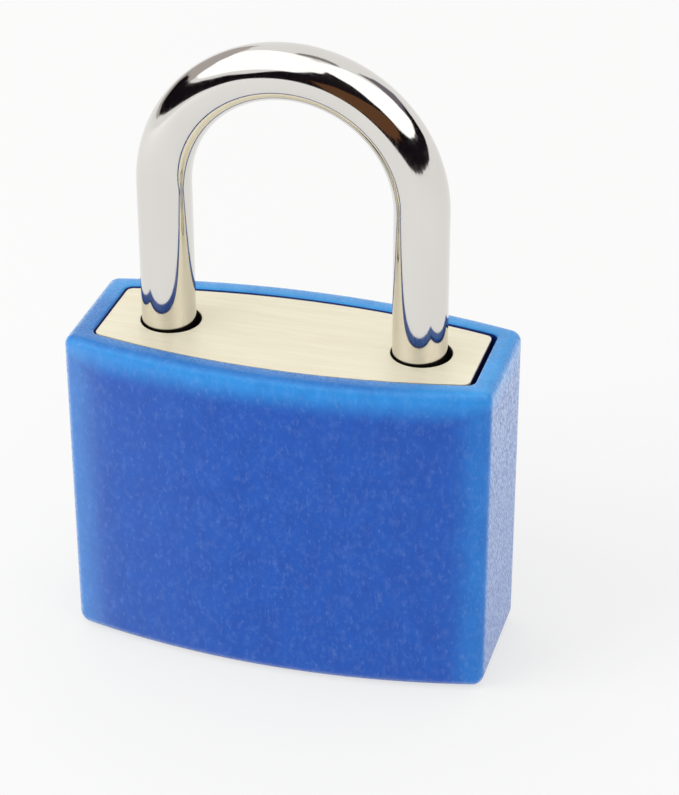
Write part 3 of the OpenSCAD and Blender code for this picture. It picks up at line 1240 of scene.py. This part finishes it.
ROOM = (
    RoomCard("dark_room", 0.12, (
        (-122, 9, 15), (-104, 4, 21), (-85, 2, 22), (-60, 1.5, 21), (-40, 0, 18), (-26, -3, 13),
        (-15, -8, 24), (0, -14, 44), (14, -12.5, 58), (26, -10, 48), (36, -7, 31), (46, -4.5, 18),
        (60, 0, 18), (75, 3.5, 20), (90, 6, 22), (105, 9, 24.5), (120, 12, 28), (132, 20, 30),
    ), srgb(20, 14, 19)),
    RoomCard("brown_coat", 0.116, ((-8, -10, 10), (4, -9, 19), (16, -3, 23), (28, 5, 25), (40, 14, 23)),
             (0.13, 0.058, 0.026, 1.0)),
    RoomCard("left_wall", 0.3, ((-150, 10, 30), (-132, 0, 40), (-116, 0, 41), (-100, 0, 36), (-84, 0, 26)),
             (0.5, 0.46, 0.44, 1.0)),
    RoomCard("left_window", 0.5, ((-128, 44, 88), (-112, 38, 88), (-95, 27, 88), (-60, 25, 88), (-10, 24, 88),
                                  (24, 30, 86)), (1.0, 1.0, 1.0, 1.0), 1.5),
    RoomCard("right_window", 0.5, ((24.5, 30, 86), (60, 18, 86), (90, 22, 84), (108, 26, 80), (118, 34, 72)),
             (1.0, 1.0, 1.0, 1.0), 1.5),
    RoomCard("right_frame", 0.3, ((114, 24, 36), (124, 24, 46), (136, 22, 58), (150, 24, 40)),
             (0.19, 0.17, 0.2, 1.0)),
    RoomCard("ceiling_edge", 0.45, ((120, 74, 79), (150, 71, 82), (180, 70, 84), (205, 71, 82),
                                    (225, 74, 79)), (0.3, 0.27, 0.26, 1.0)),
)


@dataclass
class Studio:
    """White table that glows a little, an evenly lit room, one soft light, the cards and the camera.

    The target and the distance are in millimetres, the angles in degrees.
    """

    target: tuple[float, float, float] = (2.5238, 0.0, 14.7044)
    azimuth: float = 15.94
    elevation: float = 29.93
    roll: float = -0.07
    distance: float = 138.85
    lens: float = 119.0
    table_half: float = 2.0
    table_glow: float = 0.55
    room_seen: float = 0.95
    room_light: float = 0.78

    def camera(self) -> None:
        """Sets up the camera."""
        data = bpy.data.cameras.new("camera")
        data.sensor_width = 36.0
        data.lens = self.lens
        data.clip_start = 0.005
        data.clip_end = 10.0
        camera = bpy.data.objects.new("camera", data)
        bpy.context.scene.collection.objects.link(camera)
        turn, rise = math.radians(self.azimuth), math.radians(self.elevation)
        back = Vector((math.sin(turn) * math.cos(rise), -math.cos(turn) * math.cos(rise), math.sin(rise)))
        look = (-back).to_track_quat("-Z", "Y").to_matrix() @ Matrix.Rotation(math.radians(self.roll), 3, "Z")
        place = (Vector(self.target) + back * self.distance) * MM
        camera.matrix_world = Matrix.Translation(place) @ look.to_4x4()
        bpy.context.scene.camera = camera

    def table(self) -> None:
        """Lays the white table top."""
        half = self.table_half
        points = [(-half, -half, 0), (half, -half, 0), (half, half, 0), (-half, half, 0)]
        mesh = mesh_from("table", points, [(0, 1, 2, 3)])
        material, fill, shader, place = start_material("white_table")
        veil = place_grain(fill, place, 14.0, detail=1.0)
        white = fill.mix(veil, (0.45, 0.45, 0.447, 1), (0.47, 0.47, 0.467, 1))
        fill.feed(shader.inputs["Base Color"], white)
        shader.inputs["Emission Color"].default_value = (1.0, 1.0, 1.0, 1.0)
        shader.inputs["Emission Strength"].default_value = self.table_glow
        shader.inputs["Roughness"].default_value = 0.9
        shader.inputs["Specular IOR Level"].default_value = 0.1
        new_piece("table", mesh, material)

    def softbox(self, name: str, place: Sequence[float], aim: Sequence[float],
                size: Sequence[float], power: float) -> None:
        """Hangs one rectangular soft light.

        Args:
            name: The light's name.
            place: Where it hangs, in metres.
            aim: The point that it faces.
            size: Its width and height.
            power: Its power in watts.
        """
        data = bpy.data.lights.new(name, "AREA")
        data.shape = "RECTANGLE"
        data.size, data.size_y = size
        data.energy = power
        light = bpy.data.objects.new(name, data)
        bpy.context.scene.collection.objects.link(light)
        facing = (Vector(aim) - Vector(place)).to_track_quat("-Z", "Y").to_matrix().to_4x4()
        light.matrix_world = Matrix.Translation(place) @ facing
        light.visible_camera = False
        light.visible_glossy = False

    def room(self) -> None:
        """Lights the room evenly in white, a little dimmer on matt surfaces than it looks in shiny ones."""
        world = bpy.data.worlds.new("room")
        bpy.context.scene.world = world
        world.use_nodes = True
        back = next(n for n in world.node_tree.nodes if n.type == "BACKGROUND")
        back.inputs["Color"].default_value = (1.0, 1.0, 1.0, 1.0)
        fill = TreeFiller(world.node_tree)
        scattered = fill.add("ShaderNodeLightPath").outputs["Is Diffuse Ray"]
        drop = fill.math("MULTIPLY", scattered, self.room_seen - self.room_light)
        fill.feed(back.inputs["Strength"], fill.math("SUBTRACT", self.room_seen, drop))
        bpy.context.scene.view_settings.view_transform = "Standard"

    def build(self) -> None:
        """Sets up the table, the light, the cards and the camera."""
        self.camera()
        self.room()
        self.table()
        self.softbox("key", (-0.26, -0.18, 0.2), aim=(0, 0, 0.01), size=(0.25, 0.25), power=0.36)
        for card in ROOM:
            card.build()


def main() -> None:
    """Builds the studio and every piece of the padlock."""
    logging.basicConfig(level=logging.INFO, format="%(name)s: %(message)s")
    Studio().build()
    _, jacket_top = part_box("jacket")
    plastic = JacketPlastic(
        # glow and rim are painted light at the edges and on the rim, pale is painted light at the left end,
        # pocket is painted shade, and haze colours the flecks and the painted sheen.
        deep=(0.002, 0.0835, 0.475, 1.0), glow=(0.018, 0.28, 0.78, 1.0), rim=(0.04, 0.39, 0.93, 1.0),
        pocket=(0.003, 0.03, 0.25, 1.0), pale=srgb(190, 214, 240), haze=(0.5, 0.69, 0.97, 1.0),
        roughness=0.4, grain_density=8500.0,
        half_width=jacket_top.x, front=JacketShell.half_side * MM, height=jacket_top.z,
    )
    _, body_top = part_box("lock_body")
    brass = BoredBrass(
        "brushed_brass", tint=(1.0, 0.945, 0.765, 1.0), shade=(0.945, 0.88, 0.68, 1.0), roughness=0.55,
        stretch=(0.05, 1.0, 1.0), density=6500.0, depth=0.006 * MM, metallic=0.5, top=body_top.z,
    )
    pieces = [
        JacketShell().build(plastic),
        BrassBody().build(brass),
        ShackleBar.measured().build(CHROME),
        *CoilWorks(SteelTone.WIRE.finish().material()).build(),
    ]
    for piece in pieces:
        LOG.info("%s: %d faces", piece.name, len(piece.data.polygons))
    LOG.info("inner pieces dressed: %d", LockWork().build())


if __name__ == "__main__":
    main()
